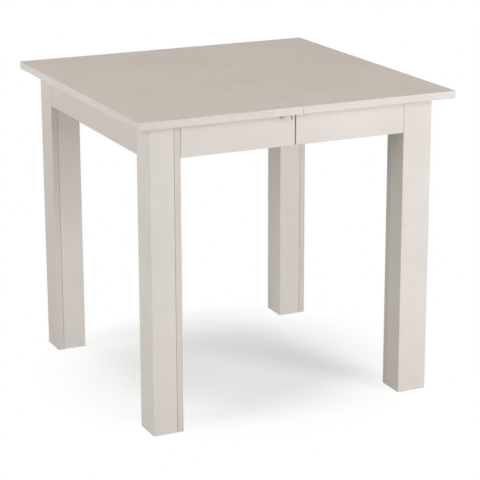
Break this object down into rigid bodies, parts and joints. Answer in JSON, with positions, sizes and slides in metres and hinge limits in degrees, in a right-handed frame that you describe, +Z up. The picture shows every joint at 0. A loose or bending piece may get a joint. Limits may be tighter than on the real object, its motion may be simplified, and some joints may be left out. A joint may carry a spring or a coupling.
{
  "type": "extendable table",
  "caption": "Square dining table in pale board on hollow square legs, whose halves slide apart on ball runners to take a folded leaf stored under the top.",
  "frame": {"origin": "on the floor, under the middle of the seam of the closed top", "axes": "+X along the pull to the right half, +Y from the front to the back, +Z up"},
  "size_m": [0.8, 0.8, 0.75],
  "materials": {
    "board": "satin laminate in pale cashmere",
    "edging": "satin edging band, a shade lighter than the board",
    "core_board": "raw pressed board",
    "beech": "planed beech, unfinished",
    "nylon": "matt white nylon",
    "zinc_steel": "zinc plated",
    "runner_steel": "rolled and zinc plated, lightly greased",
    "ball_steel": "ground and polished",
    "catch_steel": "zinc plated and tumbled, dulled by handling"
  },
  "bodies": {
    "left_half": {"left_top_board": "board", "left_top_edging": "edging", "left_side_apron": "board", "left_front_apron": "board", "left_back_apron": "board", "front_left_leg_channel": "board", "front_left_leg_cover": "board", "back_left_leg_channel": "board", "back_left_leg_cover": "board", "left_leg_cores": "core_board", "left_foot_plugs": "core_board", "left_glides": "nylon", "left_dowels": "beech", "left_corner_plates": "zinc_steel", "left_corner_bolts": "zinc_steel", "left_corner_nuts": "zinc_steel", "left_bearers": "beech", "left_outer_rails": "runner_steel", "left_top_brackets": "zinc_steel", "left_wood_screws": "zinc_steel", "seam_pins": "nylon", "catch_pivots": "catch_steel"},
    "right_half": {"right_top_board": "board", "right_top_edging": "edging", "right_side_apron": "board", "right_front_apron": "board", "right_back_apron": "board", "front_right_leg_channel": "board", "front_right_leg_cover": "board", "back_right_leg_channel": "board", "back_right_leg_cover": "board", "right_leg_cores": "core_board", "right_foot_plugs": "core_board", "right_glides": "nylon", "right_dowels": "beech", "right_corner_plates": "zinc_steel", "right_corner_bolts": "zinc_steel", "right_corner_nuts": "zinc_steel", "right_bearers": "beech", "right_outer_rails": "runner_steel", "right_top_brackets": "zinc_steel", "right_wood_screws": "zinc_steel", "catch_studs": "catch_steel"},
    "leaf_carrier": {"front_middle_rail": "runner_steel", "back_middle_rail": "runner_steel", "leaf_battens": "beech", "batten_brackets": "zinc_steel", "batten_screws": "zinc_steel", "leaf_stops": "nylon"},
    "leaf": {"leaf_lower_panel": "board", "leaf_upper_panel": "board", "leaf_pins": "nylon", "leaf_hinge_wings": "zinc_steel", "leaf_hinge_pins": "zinc_steel"},
    "left_cages": {"left_ball_cages": "runner_steel", "left_balls": "ball_steel"},
    "right_cages": {"right_ball_cages": "runner_steel", "right_balls": "ball_steel"},
    "front_catch": {"front_catch": "catch_steel"},
    "back_catch": {"back_catch": "catch_steel"}
  },
  "joints": [
    {"name": "left_runner", "type": "slide", "parent": "left_half", "child": "leaf_carrier", "axis": [1, 0, 0], "range_m": [0, 0.2]},
    {"name": "right_runner", "type": "slide", "parent": "leaf_carrier", "child": "right_half", "axis": [1, 0, 0], "range_m": [0, 0.2]},
    {"name": "left_cage_roll", "type": "slide", "parent": "left_half", "child": "left_cages", "axis": [1, 0, 0], "range_m": [0, 0.1]},
    {"name": "right_cage_roll", "type": "slide", "parent": "leaf_carrier", "child": "right_cages", "axis": [1, 0, 0], "range_m": [0, 0.1]},
    {"name": "leaf_lift", "type": "slide", "parent": "leaf_carrier", "child": "leaf", "axis": [0, 0, 1], "range_m": [0, 0.01]},
    {"name": "front_catch_turn", "type": "hinge", "parent": "left_half", "child": "front_catch", "pos_m": [-0.046, -0.384, 0.729], "axis": [0, 0, 1], "range_deg": [0, 16]},
    {"name": "back_catch_turn", "type": "hinge", "parent": "left_half", "child": "back_catch", "pos_m": [-0.046, 0.384, 0.729], "axis": [0, 0, -1], "range_deg": [0, 16]}
  ],
  "couplings": [
    {"joint": "left_cage_roll", "follows": "left_runner", "ratio": 0.5},
    {"joint": "right_cage_roll", "follows": "right_runner", "ratio": 0.5}
  ]
}
